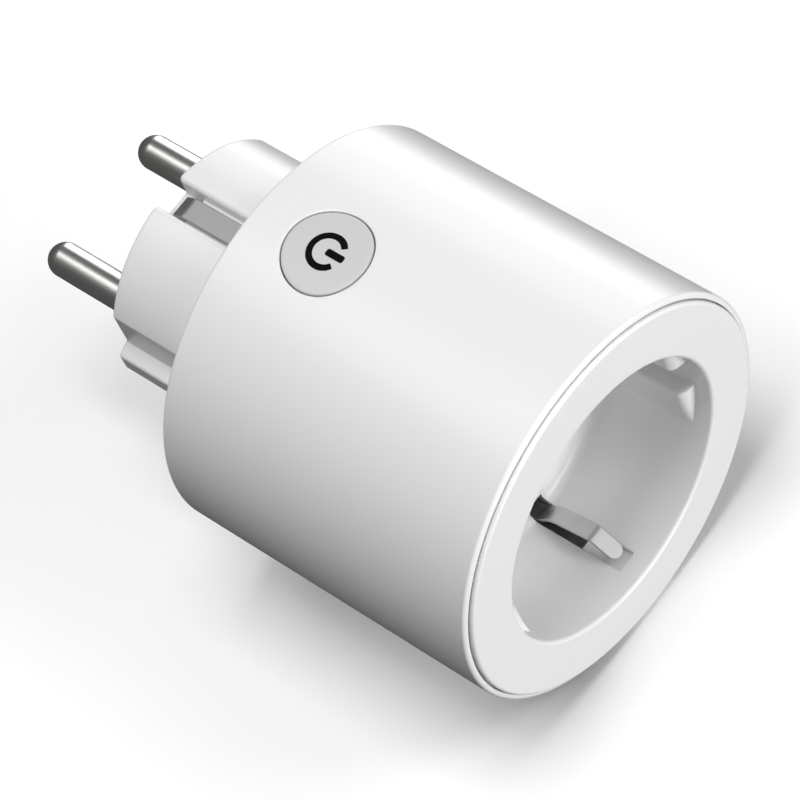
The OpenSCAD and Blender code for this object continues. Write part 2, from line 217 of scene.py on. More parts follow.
class Shape:
    """Points and faces of one piece, in millimetres"""

    def __init__(self):
        self.points = []
        self.faces = []

    def add(self, points):
        first = len(self.points)
        self.points.extend(points)
        return list(range(first, len(self.points)))

    def strip(self, a, b, keep=None):
        """Faces between two closed rows of points; keep says which columns have one"""
        for i in range(len(a)):
            j = (i + 1) % len(a)
            if keep is None or keep(i):
                self.faces.append((a[i], a[j], b[j], b[i]))

    def fan(self, row, centre):
        for i, point in enumerate(row):
            self.faces.append((point, row[(i + 1) % len(row)], centre))

    def rows(self, loops):
        """Strips through a list of rows; a row of one point is a pole"""
        for a, b in zip(loops, loops[1:]):
            if len(a) == 1:
                self.fan(b, a[0])
            elif len(b) == 1:
                self.fan(a, b[0])
            else:
                self.strip(a, b)

    def fill(self, outer, holes=(), axes=(0, 2)):
        """Fills a closed outline that has holes, seen along the axis that isn't in axes"""
        loops = [outer, *holes]
        ids = [i for loop in loops for i in loop]
        flat = [Vector((self.points[i][axes[0]], self.points[i][axes[1]])) for i in ids]
        edges, outlines = [], []
        first = 0
        for loop in loops:
            count = len(loop)
            edges += [(first + k, first + (k + 1) % count) for k in range(count)]
            outlines.append([tuple(point) for point in flat[first:first + count]])
            first += count
        made = delaunay_2d_cdt(flat, edges, [], 0, 1e-7)
        source = [ids[origin[0]] for origin in made[3]]
        for face in made[2]:
            middle = sum((made[0][k] for k in face), Vector((0, 0))) / len(face)
            if sum(in_outline(middle, outline) for outline in outlines) == 1:
                self.faces.append(tuple(source[k] for k in face))


def circle(r, y, sides, x=0.0, z=0.0):
    """Ring of points about an axis along Y"""
    turns = [math.tau * i / sides for i in range(sides)]
    return [(x + r * math.cos(t), y, z + r * math.sin(t)) for t in turns]


def turn(shape, profile, sides, x=0.0, z=0.0):
    """Turns a profile of (radius, y) about an axis along Y"""
    loops = []
    for r, y in profile:
        loops.append(shape.add(circle(r, y, sides, x, z) if r > 0 else [(x, y, z)]))
    shape.rows(loops)
    return loops


def bent_strip(shape, path, thickness, width, tip=False, edge=0.1):
    """Strip of metal along a path of (y, z), its width along X, with soft edges and perhaps a round tip"""
    half_w = width / 2
    length = [0.0]
    for a, b in zip(path, path[1:]):
        length.append(length[-1] + math.dist(a, b))
    loops = []
    for i, (y, z) in enumerate(path):
        a, b = path[max(0, i - 1)], path[min(len(path) - 1, i + 1)]
        along = (Vector(b) - Vector(a)).normalized()
        out = Vector((-along.y, along.x)) * thickness / 2
        left = length[-1] - length[i]
        w = half_w
        if tip and left < half_w:
            w = max(0.12, math.sqrt(half_w ** 2 - (half_w - left) ** 2))
        soft = min(edge, w / 2, thickness / 3)
        level = 1 - 2 * soft / thickness
        section = [(w - soft, 1), (w, level), (w, -level), (w - soft, -1)]
        section += [(-x, -s) for x, s in section]
        loops.append(shape.add([(x, y + out.x * s, z + out.y * s) for x, s in section]))
    for a, b in zip(loops, loops[1:]):
        shape.strip(a, b)
    shape.faces.append(tuple(loops[0]))
    shape.faces.append(tuple(loops[-1]))


def resampled(path, step):
    """A path with extra points, so that none are further apart than step"""
    out = [path[0]]
    for a, b in zip(path, path[1:]):
        parts = max(1, math.ceil(math.dist(a, b) / step))
        out += [(mix(a[0], b[0], k / parts), mix(a[1], b[1], k / parts)) for k in range(1, parts + 1)]
    return out


# ---------------------------------------------------------------- pieces

def clean_mesh(name, shape):
    """Mesh of a shape in metres, with no loose points and its normals outwards"""
    mesh = bpy.data.meshes.new(name)
    mesh.from_pydata([tuple(c * MM for c in p) for p in shape.points], [], shape.faces)
    work = bmesh.new()
    work.from_mesh(mesh)
    bmesh.ops.delete(work, geom=[v for v in work.verts if not v.link_faces], context="VERTS")
    bmesh.ops.recalc_face_normals(work, faces=work.faces)
    work.to_mesh(mesh)
    work.free()
    return mesh


def make_piece(name, shape, body, slot, stands_for):
    """Links a shape as a smooth piece that rides on a body in place of a CAD node"""
    mesh = clean_mesh(name, shape)
    mesh.materials.append(PAINTS[slot])
    mesh.shade_smooth()
    mesh.set_sharp_from_angle(angle=SHARP_ANGLE)
    piece = bpy.data.objects.new(name, mesh)
    bpy.context.scene.collection.objects.link(piece)
    weigh = piece.modifiers.new("even_normals", "WEIGHTED_NORMAL")
    weigh.keep_sharp = True
    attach(piece, body)
    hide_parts(stands_for)


# ---------------------------------------------------------------- outer shell

SHELL_SIDES = 256
SHELL_STEP = math.tau * BODY_R / SHELL_SIDES
WINDOW_HALF = 12


def on_cylinder(r, phi, y):
    """Point at angle phi from +Z towards +X on a cylinder about Y"""
    return (r * math.sin(phi), y, r * math.cos(phi))


def shell_row(r, y):
    """Row of the shell; its columns run from +Z towards +X"""
    return [on_cylinder(r, math.tau * i / SHELL_SIDES, y) for i in range(SHELL_SIDES)]


def window_border():
    """Column and row of each point round the square about the button, from its lower right corner"""
    n = WINDOW_HALF
    sides = [(n, k) for k in range(-n, n)] + [(-k, n) for k in range(-n, n)]
    return sides + [(-n, -k) for k in range(-n, n)] + [(k, -n) for k in range(-n, n)]


def hole_ring(r, rho):
    """(phi, y) of a ring of plan radius rho about the button's axis on a cylinder of radius r"""
    count = 8 * WINDOW_HALF
    ring = []
    for m in range(count):
        at = -math.pi / 4 + math.tau * m / count
        ring.append((math.asin(rho * math.cos(at) / r), BUTTON_Y + rho * math.sin(at)))
    return ring


def shell_window(shape, rows, r, rho):
    """Fits a round hole of plan radius rho into the square window of one surface, and gives its ring"""
    border = window_border()
    ids = [rows[k + WINDOW_HALF][c % SHELL_SIDES] for c, k in border]
    target = hole_ring(r, rho)
    for share in (0.25, 0.5, 0.75, 1.0):
        ring = []
        for (c, k), (phi, y) in zip(border, target):
            at = mix(math.tau * c / SHELL_SIDES, phi, share)
            ring.append(on_cylinder(r, at, mix(BUTTON_Y + k * SHELL_STEP, y, share)))
        new = shape.add(ring)
        shape.strip(ids, new)
        ids = new
    return ids


def shell_hole(shape, outer, inner):
    """Hole for the button between the windows of the two surfaces, with its outer edge softened"""
    soft = 0.25
    ids = shell_window(shape, outer, BODY_R, BUTTON_HOLE_R + soft)
    for a, b in arc(soft, 90, 0, 6)[1:]:
        ring = hole_ring(BODY_R, BUTTON_HOLE_R + soft - a)
        points = [on_cylinder(BODY_R, phi, y) for phi, y in ring]
        new = shape.add([(x, y, z - (soft - b)) for x, y, z in points])
        shape.strip(ids, new)
        ids = new
    last = shell_window(shape, inner[::-1], SHELL_BORE_R, BUTTON_HOLE_R)
    shape.strip(ids, last)


def shell_shape():
    """Sleeve turned from its section, with a square window in both surfaces where the hole goes"""
    shape = Shape()
    window_y = [BUTTON_Y + k * SHELL_STEP for k in range(-WINDOW_HALF, WINDOW_HALF + 1)]
    plate_back = FACE_Y + PLATE_T
    front = [(BODY_R - RIM_ROUND + a, SHELL_FRONT_Y + RIM_ROUND - b) for a, b in arc(RIM_ROUND, 90, 0, 6)]
    rear = [(BODY_R - RIM_ROUND + a, REAR_Y - RIM_ROUND + b) for a, b in arc(RIM_ROUND, 0, 90, 6)]
    before = [(SEAT_R, plate_back), (SEAT_R, SHELL_FRONT_Y + 0.08), (SEAT_R + 0.08, SHELL_FRONT_Y), *front]
    between = [*rear, (SHELL_BORE_R + 0.15, REAR_Y), (SHELL_BORE_R, REAR_Y - 0.15)]
    profile = before + [(BODY_R, y) for y in window_y] + between
    inner_at = len(profile)
    profile += [(SHELL_BORE_R, y) for y in reversed(window_y)] + [(SHELL_BORE_R, plate_back)]
    loops = [shape.add(shell_row(r, y)) for r, y in profile]
    outer = loops[len(before):len(before) + len(window_y)]
    inner = loops[inner_at:inner_at + len(window_y)]
    open_rows = {id(row) for row in outer[:-1] + inner[:-1]}

    def beside_window(i):
        return (i + WINDOW_HALF) % SHELL_SIDES >= 2 * WINDOW_HALF

    for a, b in zip(loops, loops[1:] + loops[:1]):
        shape.strip(a, b, keep=beside_window if id(a) in open_rows else None)
    shell_hole(shape, outer, inner)
    return shape


# ---------------------------------------------------------------- socket insert

# Widest angle between two columns of the recess, and the height of the slots' edges
WIDEST_STEP = math.radians(1.6)
SLOT_EDGE_Z = math.sqrt(RECESS_R ** 2 - SLOT_HALF_W ** 2)


def recess_quarter():
    """Section of a quarter of the recess: half a groove, a rib, the wall, and half a slot"""
    groove = math.degrees(math.asin(RIB_GROOVE / RECESS_R))
    rib_end = math.degrees(math.acos(RIB_X / RECESS_R))
    slot_edge = math.degrees(math.acos(SLOT_HALF_W / RECESS_R))
    corners = arc(RECESS_R, 0, groove - 1.4, 5)
    corners += [(RECESS_R * math.cos(math.radians(groove)), RIB_GROOVE, 0.25), (RIB_X, RIB_GROOVE, 0.45)]
    corners += [(RIB_X, RECESS_R * math.sin(math.radians(rib_end)), 0.8)]
    corners += arc(RECESS_R, rib_end + 1.6, slot_edge - 1.2, 34)
    corners += [(SLOT_HALF_W, SLOT_EDGE_Z, 0.2)]
    corners += [(SLOT_HALF_W, SLOT_FLOOR_Z, 0.2), (0, SLOT_FLOOR_Z)]
    return rounded(corners)


def recess_columns():
    """(angle, rib height, slot depth, in the slot's gap) of each column round the recess"""
    quarter = []
    for x, z in recess_quarter():
        at = math.atan2(z, x)
        if quarter and at - quarter[-1][0] > WIDEST_STEP:
            x0, z0 = quarter[-1][1:]
            parts = math.ceil((at - quarter[-1][0]) / WIDEST_STEP)
            for k in range(1, parts):
                px, pz = mix(x0, x, k / parts), mix(z0, z, k / parts)
                quarter.append((math.atan2(pz, px), px, pz))
        quarter.append((at, x, z))
    columns = []
    gap_z = SLOT_EDGE_Z + 0.18
    for at, x, z in quarter:
        reach = math.hypot(x, z) - RECESS_R
        upper = at > math.radians(45)
        rib = 0.0 if upper else max(0.0, -reach)
        slot = max(0.0, reach) if upper else 0.0
        columns.append((at, rib, slot, upper and z > gap_z))
    mirrored = [(math.pi - at, *rest) for at, *rest in reversed(columns[:-1])]
    lower = [(math.pi + at, *rest) for at, *rest in columns[1:]]
    return columns + mirrored + lower + [(math.tau - at, *rest) for at, *rest in reversed(columns[1:-1])]


def recess_column(rib, slot):
    """(radius, depth) of each row down one column, and the rows where the window starts and ends"""
    rib_share = min(1.0, rib / 0.25)
    slot_share = min(1.0, slot / 0.06)
    rows = [(PLATE_R, PLATE_T)]
    rows += [(PLATE_R - PLATE_ROUND + a, PLATE_ROUND - b) for a, b in arc(PLATE_ROUND, 0, 90, 5)]
    rows += [(24.5, 0), (22.2, 0)]
    rows += [(RECESS_R + MOUTH_ROUND - a, MOUTH_ROUND - b) for a, b in arc(MOUTH_ROUND, 90, 0, 6)]
    rows += [(RECESS_R, 1.4), (RECESS_R, mix(2.0, RIB_DEPTH, rib_share))]
    rows += [(RECESS_R - rib * 0.05, mix(2.1, RIB_DEPTH, rib_share))]
    for k in range(7):
        bend = math.radians(15 * k)
        depth = mix(2.2 + 0.1 * k, RIB_DEPTH + RIB_NOSE * (1 - math.cos(bend)), rib_share)
        rows.append((RECESS_R - rib * (0.15 + 0.85 * math.sin(bend)), depth))
    wall = RECESS_R - rib + slot
    rows.append((RECESS_R - rib, mix(mix(3.5, 4.3, rib_share), SLOT_DEPTH, slot_share)))
    rows.append((wall, mix(mix(3.8, 4.6, rib_share), SLOT_DEPTH, slot_share)))
    rows.append((wall, 6.2))
    start = len(rows)
    rows += [(wall, WINDOW_DEPTH), (wall, 12.0), (wall, 14.5)]
    bend_r = mix(FLOOR_ROUND, 0.6, rib_share)
    rows += [(wall - bend_r + a, RECESS_DEPTH - bend_r + b) for a, b in arc(bend_r, 0, 90, 7)]
    end = len(rows)
    rows += [(min(NOTCH_R, wall - bend_r - 0.25), RECESS_DEPTH), (FLOOR_RING_R, RECESS_DEPTH)]
    return rows, start, end


def insert_back():
    """(radius, depth) of each row of the insert's back, and the row where the window starts

    From there it has as many rows as the recess's surface has along its window.
    """
    rows = [(SPIGOT_R, PLATE_T), (SPIGOT_R, PLATE_T + 3), (SPIGOT_R - SPIGOT_WALL, PLATE_T + 3)]
    rows += [(SPIGOT_R - SPIGOT_WALL, PLATE_T), (RECESS_OUT_R, PLATE_T), (RECESS_OUT_R, 6.2)]
    start = len(rows)
    rows += [(RECESS_OUT_R, d) for d in (WINDOW_DEPTH, 12.0, 14.5, 16.0, 17.0, 18.0)]
    rows += [(RECESS_OUT_R, FLOOR_BACK)]
    rows += [(mix(RECESS_OUT_R, NOTCH_R, k / 5), FLOOR_BACK) for k in range(1, 6)]
    rows += [(FLOOR_RING_R, FLOOR_BACK)]
    return rows, start


def window_sides(shape, front, back, first, last):
    """Joins the recess's surface to the insert's back round one window, through columns first to last"""
    span = range(first, last)
    for row_a, row_b in ((front[0], back[0]), (front[-1], back[-1])):
        for i in span:
            shape.faces.append((row_a[i], row_a[i + 1], row_b[i + 1], row_b[i]))
    for i in (first, last):
        for k in range(len(front) - 1):
            shape.faces.append((front[k][i], front[k + 1][i], back[k + 1][i], back[k][i]))


def insert_shape():
    """Face plate and recess, with a window through the wall at each earth clip"""
    shape = Shape()
    columns = recess_columns()
    made = [recess_column(rib, slot) for _, rib, slot, _ in columns]
    start, end = made[0][1:]

    def ring(pick):
        points = []
        for (at, *_), (rows, *_) in zip(columns, made):
            r, depth = pick(rows)
            points.append((r * math.cos(at), FACE_Y + depth, r * math.sin(at)))
        return shape.add(points)

    front = [ring(lambda rows, k=k: rows[k]) for k in range(len(made[0][0]))]
    back_rows, back_start = insert_back()
    back = [ring(lambda _, p=p: p) for p in back_rows]
    gap = [c[3] for c in columns]
    count = len(columns)

    def closed_here(i):
        return not (gap[i] and gap[(i + 1) % count])

    for k, (a, b) in enumerate(zip(front, front[1:])):
        shape.strip(a, b, keep=closed_here if start <= k < end else None)
    back_end = back_start + end - start
    for k, (a, b) in enumerate(zip(back, back[1:])):
        shape.strip(a, b, keep=closed_here if back_start <= k < back_end else None)
    shape.strip(front[0], back[0])
    edges = [i for i in range(count) if gap[i] and not (gap[i - 1] and gap[(i + 1) % count])]
    for first, last in zip(edges[::2], edges[1::2]):
        window_sides(shape, front[start:end + 1], back[back_start:back_end + 1], first, last)
    insert_floor(shape, front[-1], back[-1])
    insert_bosses(shape, FACE_Y + FLOOR_BACK)
    return shape


def insert_floor(shape, front_row, back_row):
    """Floor of the recess, with the two pin holes"""
    floor_y = FACE_Y + RECESS_DEPTH
    lip = [(PIN_HOLE_R + 0.25 - a, floor_y + 0.25 - b) for a, b in arc(0.25, 90, 0, 5)]
    profile = [*lip, (PIN_HOLE_R, FACE_Y + FLOOR_BACK)]
    holes = [turn(shape, profile, 64, x=side * PIN_X) for side in (-1, 1)]
    shape.fill(front_row, [loops[0] for loops in holes])
    shape.fill(back_row, [loops[-1] for loops in holes])


def insert_bosses(shape, back_y):
    """Posts behind the floor: one for the shutter, and two for the carrier's screws"""
    root_y = back_y - 0.3
    post = [(0, root_y), (2.5, root_y), (2.5, BOSS_BACK_Y - 0.2), (2.3, BOSS_BACK_Y), (0, BOSS_BACK_Y)]
    turn(shape, post, 48)
    for side in (-1, 1):
        profile = [(0, root_y), (2.2, root_y), (2.2, BOSS_BACK_Y - 0.15), (2.05, BOSS_BACK_Y)]
        profile += [(1.0, BOSS_BACK_Y), (1.0, back_y - 0.1), (0, back_y - 0.1)]
        turn(shape, profile, 40, side * BOSS_XZ, side * BOSS_XZ)


# ---------------------------------------------------------------- rear housing

def block_outline(slot_floor):
    """Section of the plug block: a circle with two flats, a tongue on each flat, and two slots"""
    flat_end = math.degrees(math.acos(BLOCK_FLAT / BLOCK_R))
    slot_edge = math.degrees(math.acos(BLOCK_SLOT_HALF_W / BLOCK_R))
    corners = [(17.3, 0), (17.3, 1.5, 0.62), (BLOCK_FLAT, 2.45, 0.3)]
    corners += [(BLOCK_FLAT, BLOCK_R * math.sin(math.radians(flat_end)), 0.8)]
    corners += arc(BLOCK_R, flat_end + 1.8, slot_edge - 3.3, 40)
    corners += [(BLOCK_SLOT_HALF_W, BLOCK_R * math.sin(math.radians(slot_edge)), 0.75)]
    corners += [(BLOCK_SLOT_HALF_W, slot_floor, 0.2), (0, slot_floor)]
    return four_quadrants(rounded(corners))


def housing_shape():
    """Plug block on its disc: the block's face, slots and pockets, the pins' bores, and the hollow behind"""
    shape = Shape()
    plain, pocket = block_outline(BLOCK_SLOT_FLOOR), block_outline(POCKET_FLOOR)
    step = []
    for (x, z), (xp, zp) in zip(plain, pocket):
        moved = math.dist((x, z), (xp, zp)) > 1e-6
        step.append((xp, POCKET_Y if moved else POCKET_Y + 0.3, zp))
    loops = [shape.add([(x, REAR_Y, z) for x, z in plain]), shape.add([(x, POCKET_Y, z) for x, z in plain])]
    loops.append(shape.add(step))
    for a, b in arc(BLOCK_ROUND, 0, 90, 7):
        edge = inset(pocket, BLOCK_ROUND - a)
        loops.append(shape.add([(x, b - BLOCK_ROUND, z) for x, z in edge]))
    shape.rows(loops)
    holes, bosses = [], []
    bore_r = PIN_R + 0.03
    bore = [(PIN_R + 0.12, 0), (bore_r, -0.1), (bore_r, PIN_BOSS_Y)]
    bore += [(PIN_BOSS_R, PIN_BOSS_Y), (PIN_BOSS_R, HOLLOW_Y)]
    for side in (-1, 1):
        sleeve = turn(shape, bore, 64, x=side * PIN_X)
        holes.append(sleeve[0])
        bosses.append(sleeve[-1])
    shape.fill(loops[-1], holes)
    spigot_in_r = SPIGOT_R - SPIGOT_WALL
    rim = [(SPIGOT_R - 0.15, REAR_Y), (SPIGOT_R, REAR_Y - 0.15), (SPIGOT_R, HOUSING_BACK_Y)]
    rim += [(spigot_in_r, HOUSING_BACK_Y), (spigot_in_r, DISC_BACK_Y)]
    rim += [(HOLLOW_R, DISC_BACK_Y), (HOLLOW_R, HOLLOW_Y)]
    body = turn(shape, rim, 192)
    shape.fill(body[0], [loops[0]])
    shape.fill(body[-1], bosses)
    return shape


# ---------------------------------------------------------------- metal parts

def pin_shape(side):
    """Contact pin: thin tail, root in the block, and a straight stem with a round tip"""
    shape = Shape()
    root_r = PIN_R - 0.16
    profile = [(0, PIN_TAIL_Y), (1.0, PIN_TAIL_Y), (1.2, PIN_TAIL_Y + 0.2), (1.2, -17)]
    profile += [(root_r, -17), (root_r, -1)]
    profile += [(PIN_R, -1), (PIN_R, 4), (PIN_R, 8), (PIN_R, 12)]
    profile += [(a, PIN_TIP_Y - PIN_R + b) for a, b in arc(PIN_R, 0, 90, 18)[:-1]]
    profile += [(0, PIN_TIP_Y)]
    turn(shape, profile, 96, x=side * PIN_X)
    return shape


def clip_shape(side):
    """Sprung earth contact: from its root behind the floor, over a crest, to a tongue with a round tip"""
    pivot_y = low("contact_carrier").y - 1.5
    mid = CLIP_T / 2
    path = [(pivot_y - 0.4, 20.25), (FACE_Y + 17.0, 20.05, 1.5), (FACE_Y + 14, 17 + mid, 3.5)]
    path += [(FACE_Y + 7.4, 15.7 + mid, 1.0), (FACE_Y + 3.85, 18.35 + mid)]
    points = resampled(rounded(path, steps=8), 0.35)
    fine_from = next(i for i, p in enumerate(points) if p[0] < FACE_Y + 5.6)
    points = points[:fine_from] + resampled(points[fine_from:], 0.09)
    shape = Shape()
    bent_strip(shape, [(y, side * z) for y, z in points], CLIP_T, CLIP_W, tip=True)
    return shape


def strap_shape():
    """Earth strips of the plug: one runs through to the bracket, the other joins it behind the disc"""
    shape = Shape()
    bracket_y = low("plug_earth_strap").y + STRIP_T / 2
    end = (-1.6, STRIP_Z - 0.9)
    long = [end, (-3.2, STRIP_Z, 1.2), (bracket_y, STRIP_Z, 0.8), (bracket_y, 11.4)]
    short = [(end[0], -end[1]), (-3.2, -STRIP_Z, 1.2), (DISC_BACK_Y - STRIP_T / 2, -STRIP_Z, 0.8)]
    short += [(DISC_BACK_Y - STRIP_T / 2, STRIP_Z)]
    for path in (long, short):
        bent_strip(shape, resampled(rounded(path), 2.0), STRIP_T, STRIP_W, edge=0.15)
    return shape


# ---------------------------------------------------------------- button

def on_body(x, y, r, drop=0.0):
    """Point above (x, y) on a cylinder of radius r about Y"""
    return (x, y, math.sqrt(r * r - x * x) - drop)


def button_ring(rho, drop=0.0, z=None):
    """Ring of plan radius rho about the button's axis: below the curved face by drop, or flat at z"""
    ring = []
    for i in range(BUTTON_SIDES):
        at = math.tau * i / BUTTON_SIDES
        x, y = rho * math.cos(at), BUTTON_Y + rho * math.sin(at)
        ring.append(on_body(x, y, BUTTON_FACE_R, drop) if z is None else (x, y, z))
    return ring


def button_shape():
    """Cap that follows the body's curve, with a flange under the shell and a short stem"""
    shape = Shape()
    soft = 0.22
    stem_z = low("button_cap").z
    flange_z, flange_under = 24.3, stem_z + 1.6
    loops = [shape.add([on_body(0, BUTTON_Y, BUTTON_FACE_R)])]
    loops += [shape.add(button_ring(rho)) for rho in (1.0, 2.0, 3.0, 4.0, 5.0)]
    loops += [shape.add(button_ring(BUTTON_R - soft + a, soft - b)) for a, b in arc(soft, 90, 0, 6)]
    below = [(BUTTON_R, flange_z), (FLANGE_R - 0.15, flange_z), (FLANGE_R, flange_z - 0.15)]
    below += [(FLANGE_R, flange_under), (1.6, flange_under), (1.6, stem_z + 0.15), (1.45, stem_z)]
    loops += [shape.add(button_ring(rho, z=z)) for rho, z in below]
    loops.append(shape.add([(0, BUTTON_Y, stem_z)]))
    shape.rows(loops)
    return shape


def printed(shape, outline):
    """Thin print of a flat outline of (x, y from the button's centre) on the button's face"""
    top = shape.add([on_body(x, BUTTON_Y + y, BODY_R) for x, y in outline])
    under = shape.add([on_body(x, BUTTON_Y + y, BODY_R - 0.1) for x, y in outline])
    shape.strip(top, under)
    shape.fill(top, axes=(0, 1))
    shape.fill(under, axes=(0, 1))


def symbol_shape():
    """Power symbol: a ring that is open towards the socket, and a bar in its opening"""
    shape = Shape()
    ends = (-90 + ICON_GAP, 270 - ICON_GAP)
    outer = arc(ICON_R, *ends, 72)
    inner = arc(ICON_INNER_R, ends[1], ends[0], 72)
    soft = 0.12
    ring = []
    for side in (outer, inner):
        ring += [(*side[0], soft), *side[4:-4], (*side[-1], soft)]
    printed(shape, rounded(ring, closed=True, steps=4))
    half = ICON_BAR_W / 2
    corners = ((-half, -ICON_R), (half, -ICON_R), (half, 0.05), (-half, 0.05))
    printed(shape, rounded([(*corner, 0.32) for corner in corners], closed=True, steps=8))
    return shape


# ---------------------------------------------------------------- materials

class Paint:
    """Procedural material round one Principled shader"""

    def __init__(self, name, colour, roughness, metallic=0.0):
        self.material = bpy.data.materials.new(name)
        self.material.use_nodes = True
        self.tree = self.material.node_tree
        self.shader = next(n for n in self.tree.nodes if n.type == "BSDF_PRINCIPLED")
        self.colour = colour
        self.roughness = roughness
        self.shader.inputs["Metallic"].default_value = metallic
        self.place = self.node("ShaderNodeTexCoord").outputs["Object"]

    def node(self, kind, **inputs):
        """New node; an underscore in an input's name stands for a space"""
        made = self.tree.nodes.new(kind)
        for key, value in inputs.items():
            made.inputs[key.replace("_", " ")].default_value = value
        return made

    def link(self, a, b):
        self.tree.links.new(a, b)

    def noise(self, scale, detail=3.0, stretch=(1, 1, 1)):
        """Noise that sticks to the piece; stretch below 1 along an axis draws it out there"""
        mapping = self.node("ShaderNodeMapping", Scale=stretch)
        self.link(self.place, mapping.inputs["Vector"])
        noise = self.node("ShaderNodeTexNoise", Scale=scale, Detail=detail)
        self.link(mapping.outputs["Vector"], noise.inputs["Vector"])
        return noise.outputs["Fac"]

    def ranged(self, value, to_low, to_high, from_low=0.3, from_high=0.7):
        """A socket's value carried from one range to another, and held inside it"""
        ends = {"From_Min": from_low, "From_Max": from_high, "To_Min": to_low, "To_Max": to_high}
        ranged = self.node("ShaderNodeMapRange", **ends)
        self.link(value, ranged.inputs["Value"])
        return ranged.outputs["Result"]

    def blended(self, share, a, b):
        """Colour from a to b by share; b is a colour, and a is a colour or a socket"""
        blend = self.tree.nodes.new("ShaderNodeMix")
        blend.data_type = "RGBA"
        self.link(share, blend.inputs["Factor"])
        if isinstance(a, tuple):
            blend.inputs[6].default_value = (*a, 1)
        else:
            self.link(a, blend.inputs[6])
        blend.inputs[7].default_value = (*b, 1)
        return blend.outputs[2]

    def surface(self, scale, spread, rough_spread, stretch=(1, 1, 1)):
        """Base colour and roughness that vary a little over the surface"""
        cloud = self.noise(scale, stretch=stretch)
        darker = tuple(c * (1 - spread) for c in self.colour)
        colour = self.blended(self.ranged(cloud, 0, 1), darker, self.colour)
        self.link(colour, self.shader.inputs["Base Color"])
        fine = self.noise(scale * 4, stretch=stretch)
        rough = self.ranged(fine, self.roughness - rough_spread, self.roughness + rough_spread)
        self.link(rough, self.shader.inputs["Roughness"])
        return self

    def grain(self, scale, height, stretch=(1, 1, 1)):
        """Fine bump"""
        bump = self.node("ShaderNodeBump", Distance=height * MM, Strength=1.0)
        self.link(self.noise(scale, 2.0, stretch), bump.inputs["Height"])
        self.link(bump.outputs["Normal"], self.shader.inputs["Normal"])
        return self

    def worn(self, edge):
        """Edges half rubbed to another colour, in patches"""
        old = self.shader.inputs["Base Color"].links[0].from_socket
        pointed = self.node("ShaderNodeNewGeometry").outputs["Pointiness"]
        edges = self.ranged(pointed, 0, 0.5, 0.52, 0.58)
        patches = self.ranged(self.noise(180), 0, 1, 0.45, 0.65)
        both = self.node("ShaderNodeMath")
        both.operation = "MULTIPLY"
        self.link(edges, both.inputs[0])
        self.link(patches, both.inputs[1])
        self.link(self.blended(both.outputs[0], old, edge), self.shader.inputs["Base Color"])
        return self

    def set(self, **sockets):
        """Puts values that are the same all over on the shader's own sockets"""
        for key, value in sockets.items():
            self.shader.inputs[key.replace("_", " ")].default_value = value
        return self


def plastic(name, colour, roughness=0.28, grain=0.0003, shine=0.5):
    """Moulded plastic with a fine spark-eroded grain"""
    paint = Paint(name, colour, roughness)
    paint.set(Specular_IOR_Level=shine).surface(30, 0.01, 0.006).grain(1500, grain)
    paint.worn(tuple(min(1, c * 1.05) for c in colour))
    return paint.material


def metal(name, colour, roughness, scale=300, spread=0.05, stretch=(1, 1, 1)):
    """Plated or bare metal, its marks drawn out along one axis where stretch says so"""
    paint = Paint(name, colour, roughness, metallic=1.0)
    paint.surface(scale, spread, roughness * 0.06, stretch).grain(scale * 8, 0.0002, stretch)
    return paint.material


def board(name):
    """Circuit board: green mask over a woven base, with darker patches where copper lies"""
    paint = Paint(name, (0.02, 0.13, 0.05), 0.35)
    paint.surface(900, 0.35, 0.06).grain(6000, 0.004)
    return paint.material


def coil_copper(name):
    """Enamelled wire wound round a core along Y"""
    paint = Paint(name, (0.45, 0.16, 0.06), 0.35, metallic=0.8)
    paint.surface(500, 0.3, 0.08)
    wave = paint.node("ShaderNodeTexWave", Scale=900.0, Distortion=0.4)
    wave.bands_direction = "Y"
    paint.link(paint.place, wave.inputs["Vector"])
    bump = paint.node("ShaderNodeBump", Distance=0.08 * MM)
    paint.link(wave.outputs["Fac"], bump.inputs["Height"])
    paint.link(bump.outputs["Normal"], paint.shader.inputs["Normal"])
    return paint.material


def clear_led(name):
    """Clear epoxy of the status light"""
    paint = Paint(name, (0.75, 0.86, 0.95), 0.12)
    paint.surface(600, 0.08, 0.03).set(Transmission_Weight=0.6, IOR=1.5)
    return paint.material


WHITE = (0.78, 0.78, 0.78)
ALONG_Y = (1, 0.04, 1)
PAINTS = {
    "shell_white": plastic("shell_white", WHITE),
    "insert_white": plastic("insert_white", WHITE, 0.34),
    "button_white": plastic("button_white", (0.57, 0.57, 0.57), 0.38),
    "symbol_black": plastic("symbol_black", (0.002, 0.002, 0.002), 0.7, shine=0.08),
    "nickel": metal("nickel", (0.80, 0.79, 0.77), 0.3, 260, 0.06, ALONG_Y),
    "earth_metal": metal("earth_metal", (0.50, 0.50, 0.50), 0.5, 300, 0.03),
    "contact_brass": metal("contact_brass", (0.75, 0.55, 0.22), 0.3),
    "inner_grey": plastic("inner_grey", (0.05, 0.05, 0.055), 0.5),
    "shutter_grey": plastic("shutter_grey", (0.22, 0.22, 0.23), 0.45),
    "board_green": board("board_green"),
    "chip_black": plastic("chip_black", (0.02, 0.02, 0.022), 0.55, 0.003),
    "relay_blue": plastic("relay_blue", (0.03, 0.12, 0.42), 0.3),
    "coil_copper": coil_copper("coil_copper"),
    "steel": metal("steel", (0.5, 0.5, 0.52), 0.3),
    "led_clear": clear_led("led_clear"),
    "can_sleeve": plastic("can_sleeve", (0.05, 0.05, 0.14), 0.35),
    "varistor_blue": plastic("varistor_blue", (0.05, 0.16, 0.4), 0.4),
    "resistor_green": plastic("resistor_green", (0.25, 0.36, 0.25), 0.45),
}


